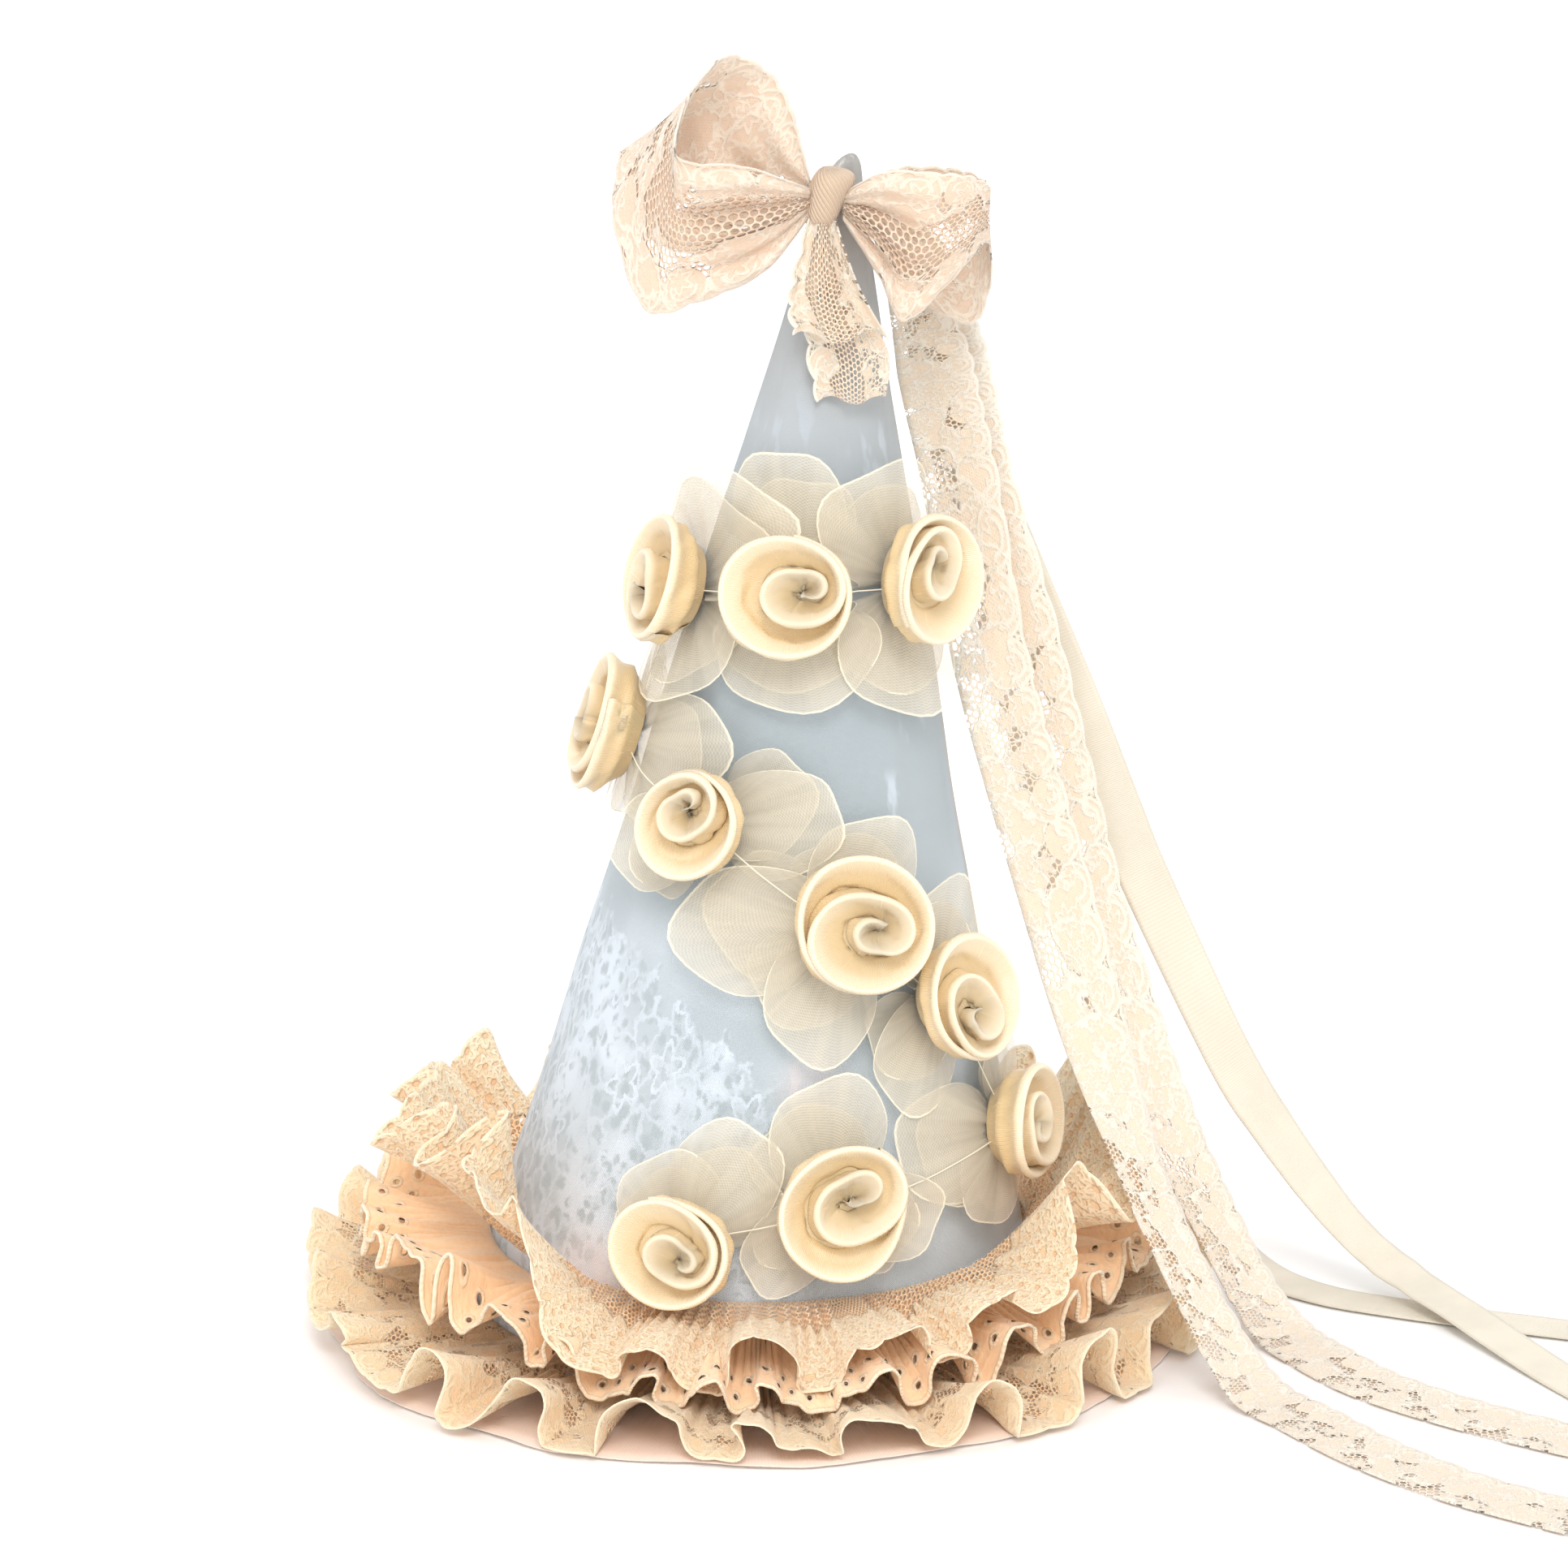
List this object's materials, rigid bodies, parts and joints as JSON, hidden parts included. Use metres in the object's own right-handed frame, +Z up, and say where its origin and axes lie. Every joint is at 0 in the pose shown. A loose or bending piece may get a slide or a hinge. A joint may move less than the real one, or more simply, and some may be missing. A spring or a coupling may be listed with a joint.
{
  "type": "cone party hat",
  "caption": "Cloth cone party hat with a lace bow, a winding garland of satin ribbon roses, trailing ribbons and a gathered lace brim.",
  "frame": {"origin": "middle of the cone's rim, on the surface that the hat rests on", "axes": "+Z up towards the tip, -Y out of the front with the garland, +X to the side where the ribbons trail"},
  "size_m": [0.312, 0.2663, 0.3043],
  "materials": {
    "printed_cotton": "fine matte weave with a soft white lace print",
    "blush_lace": "matte lace and plain cloth",
    "eyelet_cotton": "matte cotton with embroidered eyelets",
    "embroidered_net": "fine net with raised matte embroidery",
    "cream_satin": "satin sheen",
    "ivory_organza": "sheer with a slight sheen",
    "bow_lace": "matte lace with open net",
    "streamer_lace": "matte lace with a scalloped edge",
    "cream_ribbon": "fine ribbed weave, slight sheen"
  },
  "bodies": {
    "root": {"cone_shell": "printed_cotton", "base_flounce": "blush_lace", "lace_flounce": "blush_lace", "eyelet_frill": "eyelet_cotton", "upper_ruffle": "embroidered_net", "rose_01": "cream_satin", "rose_02": "cream_satin", "rose_03": "cream_satin", "rose_04": "cream_satin", "rose_05": "cream_satin", "rose_06": "cream_satin", "rose_07": "cream_satin", "rose_08": "cream_satin", "rose_09": "cream_satin", "rose_10": "cream_satin", "organza_01": "ivory_organza", "organza_02": "ivory_organza", "organza_03": "ivory_organza", "organza_04": "ivory_organza", "organza_05": "ivory_organza", "organza_06": "ivory_organza", "organza_07": "ivory_organza", "organza_08": "ivory_organza", "organza_09": "ivory_organza", "organza_10": "ivory_organza", "bow_knot": "bow_lace", "bow_loop_left": "bow_lace", "bow_loop_right": "bow_lace", "bow_tail_upper": "bow_lace", "bow_tail_lower": "bow_lace", "lace_streamer_a": "streamer_lace", "lace_streamer_b": "streamer_lace", "cream_streamer_c": "cream_ribbon", "cream_streamer_d": "cream_ribbon"}
  },
  "joints": []
}
